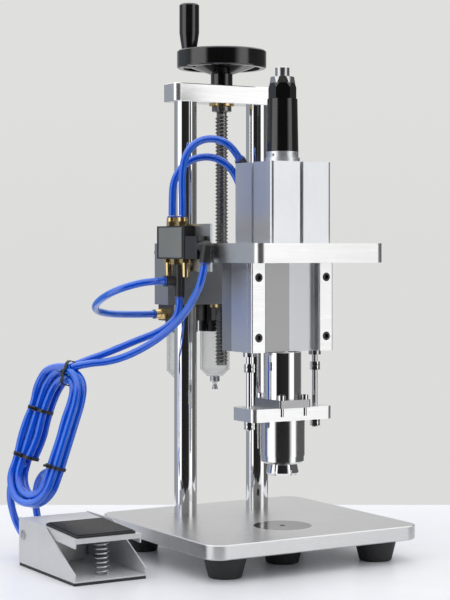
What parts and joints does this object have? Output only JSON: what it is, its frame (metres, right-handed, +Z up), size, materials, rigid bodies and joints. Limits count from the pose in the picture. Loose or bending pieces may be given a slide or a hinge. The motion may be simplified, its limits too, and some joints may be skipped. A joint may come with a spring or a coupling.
{
  "type": "pneumatic vial crimping machine",
  "caption": "Bench pneumatic press that crimps vial caps with a segmented chuck, on a column stand with a handwheel lift and a foot pedal.",
  "frame": {"origin": "where the press axis meets the resting plane, on the underside of the foot below the press axis", "axes": "+X to the right seen from the front, +Y to the back towards the columns, +Z up along the press axis"},
  "size_m": [0.3762, 0.274, 0.6021],
  "materials": {
    "satin_plate": "satin",
    "bright_plate": "bright",
    "grey_block": "satin",
    "anodised": "satin",
    "chrome": "polished",
    "steel": "brushed",
    "dark_steel": "blackened",
    "brass": "turned",
    "black_gloss": "glossy",
    "black_matte": "matte",
    "grey_plastic": "matte",
    "blue_ring": "glossy",
    "blue_hose": "translucent gloss",
    "clear_bowl": "clear",
    "rubber": "matte",
    "grey_paint": "satin paint"
  },
  "bodies": {
    "stand": {"base_plate": "satin_plate", "rubber_feet": "rubber", "frame_fasteners": "steel", "locating_disc": "steel", "columns": "chrome", "top_beam": "bright_plate", "screw_bearing": "brass", "pedal_case": "grey_paint", "pedal_valve": "grey_plastic", "pedal_spring": "steel", "hose_hank": "blue_hose", "hose_ties": "black_matte", "tail_hose_1": "blue_hose", "tail_hose_2": "blue_hose", "signal_hose": "blue_hose", "supply_hose": "blue_hose"},
    "handwheel": {"handwheel": "black_gloss", "lead_screw": "steel"},
    "handle": {"handle_grip": "black_gloss"},
    "carriage": {"carriage_block": "grey_block", "carriage_bushes": "brass", "arm_plate": "bright_plate", "carriage_screws": "dark_steel", "cylinder_body": "anodised", "adjuster_stem": "steel", "guide_body": "anodised", "guide_strips": "bright_plate", "mounting_plate": "grey_block", "rod_bushes": "brass", "mount_brackets": "steel", "valve_body": "anodised", "valve_caps": "black_matte", "hose_elbows": "black_matte", "brass_fittings": "brass", "release_rings": "blue_ring", "prep_bodies": "grey_plastic", "prep_bowls": "clear_bowl", "bowl_drains": "black_matte", "link_hose": "blue_hose", "long_arc_hose": "blue_hose", "short_arc_hose": "blue_hose"},
    "adjuster": {"adjuster_knob": "black_gloss"},
    "regulator": {"regulator_knob": "black_matte"},
    "ram": {"ram_rod": "chrome", "piston": "grey_block", "ram_flange": "dark_steel", "head_plate": "bright_plate", "stop_rods": "chrome", "bell": "anodised", "jaw_ring": "steel"},
    "plunger": {"plunger": "steel", "plunger_spring": "steel"},
    "pedal": {"pedal_tread": "grey_paint", "tread_pad": "rubber"},
    "jaw_1": {"jaw_1": "chrome"},
    "jaw_2": {"jaw_2": "chrome"},
    "jaw_3": {"jaw_3": "chrome"},
    "jaw_4": {"jaw_4": "chrome"},
    "jaw_5": {"jaw_5": "chrome"},
    "jaw_6": {"jaw_6": "chrome"}
  },
  "joints": [
    {"name": "carriage_lift", "type": "slide", "parent": "stand", "child": "carriage", "axis": [0, 0, 1], "range_m": [-0.02, 0.12], "deforming": ["signal_hose", "supply_hose"]},
    {"name": "handwheel_turn", "type": "hinge", "parent": "stand", "child": "handwheel", "pos_m": [0, 0.1255, 0.5322], "axis": [0, 0, 1], "range_deg": [-10800, 1800.1]},
    {"name": "handle_spin", "type": "hinge", "parent": "handwheel", "child": "handle", "pos_m": [-0.03862, 0.13093, 0.577], "axis": [0, 0, 1], "continuous": true},
    {"name": "ram_stroke", "type": "slide", "parent": "carriage", "child": "ram", "axis": [0, 0, -1], "range_m": [0, 0.03]},
    {"name": "adjuster_turn", "type": "hinge", "parent": "carriage", "child": "adjuster", "pos_m": [0, 0, 0.47], "axis": [0, 0, 1], "range_deg": [-720, 720]},
    {"name": "regulator_turn", "type": "hinge", "parent": "carriage", "child": "regulator", "pos_m": [0.022, 0.178, 0.307], "axis": [0, 0, 1], "range_deg": [-720, 720]},
    {"name": "plunger_press", "type": "slide", "parent": "ram", "child": "plunger", "axis": [0, 0, 1], "range_m": [0, 0.005], "stiffness_N_per_m": 1500, "springref_m": -0.004, "deforming": ["plunger_spring"]},
    {"name": "jaw_1_close", "type": "hinge", "parent": "ram", "child": "jaw_1", "pos_m": [0.0136, 0, 0.1308], "axis": [0, 1, 0], "range_deg": [0, 2.2]},
    {"name": "jaw_2_close", "type": "hinge", "parent": "ram", "child": "jaw_2", "pos_m": [0.0068, 0.01178, 0.1308], "axis": [-0.866, 0.5, 0], "range_deg": [0, 2.2]},
    {"name": "jaw_3_close", "type": "hinge", "parent": "ram", "child": "jaw_3", "pos_m": [-0.0068, 0.01178, 0.1308], "axis": [-0.866, -0.5, 0], "range_deg": [0, 2.2]},
    {"name": "jaw_4_close", "type": "hinge", "parent": "ram", "child": "jaw_4", "pos_m": [-0.0136, 0, 0.1308], "axis": [0, -1, 0], "range_deg": [0, 2.2]},
    {"name": "jaw_5_close", "type": "hinge", "parent": "ram", "child": "jaw_5", "pos_m": [-0.0068, -0.01178, 0.1308], "axis": [0.866, -0.5, 0], "range_deg": [0, 2.2]},
    {"name": "jaw_6_close", "type": "hinge", "parent": "ram", "child": "jaw_6", "pos_m": [0.0068, -0.01178, 0.1308], "axis": [0.866, 0.5, 0], "range_deg": [0, 2.2]},
    {"name": "pedal_press", "type": "hinge", "parent": "stand", "child": "pedal", "pos_m": [-0.205, 0.116, 0.033], "axis": [1, 0, 0], "range_deg": [0, 7], "stiffness_Nm_per_rad": 8, "springref_deg": -6.88, "deforming": ["pedal_spring"]}
  ],
  "couplings": [
    {"joint": "handwheel_turn", "follows": "carriage_lift", "rad_per_m": -1570.8},
    {"joint": "jaw_1_close", "follows": "plunger_press", "rad_per_m": 7.6794},
    {"joint": "jaw_2_close", "follows": "plunger_press", "rad_per_m": 7.6794},
    {"joint": "jaw_3_close", "follows": "plunger_press", "rad_per_m": 7.6794},
    {"joint": "jaw_4_close", "follows": "plunger_press", "rad_per_m": 7.6794},
    {"joint": "jaw_5_close", "follows": "plunger_press", "rad_per_m": 7.6794},
    {"joint": "jaw_6_close", "follows": "plunger_press", "rad_per_m": 7.6794}
  ]
}
